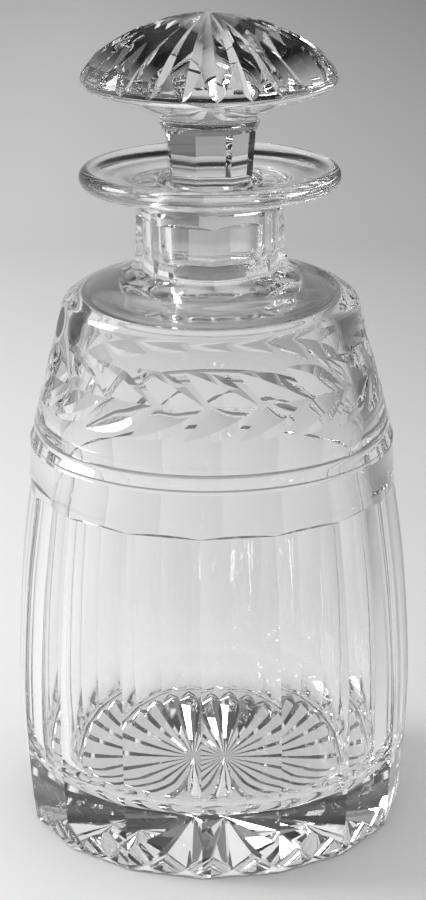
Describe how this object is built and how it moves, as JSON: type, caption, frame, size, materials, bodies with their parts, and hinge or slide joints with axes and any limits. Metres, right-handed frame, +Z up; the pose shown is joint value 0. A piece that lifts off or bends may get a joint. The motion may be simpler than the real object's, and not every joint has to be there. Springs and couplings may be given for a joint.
{
  "type": "spirit decanter",
  "caption": "Cut-glass spirit decanter with a fluted body, laurel band, faceted neck and wide disc mouth, closed by a mushroom-headed ground-glass stopper that lifts out.",
  "frame": {"origin": "centre of the foot, on the surface that the decanter stands on", "axes": "+Z up along the decanter's axis; the front of the picture is towards -Y and its right is +X"},
  "size_m": [0.1178, 0.1178, 0.2402],
  "materials": {
    "crystal": "clear, wheel-cut and polished, with ground stopper seat",
    "label": "blank silvered paper sticker, semi-gloss"
  },
  "bodies": {
    "body": {"decanter_body": "crystal", "label": "label"},
    "stopper": {"stopper": "crystal"}
  },
  "joints": [
    {"name": "stopper_lift", "type": "slide", "parent": "body", "child": "stopper", "axis": [0, 0, 1], "range_m": [0, 0.1]}
  ]
}
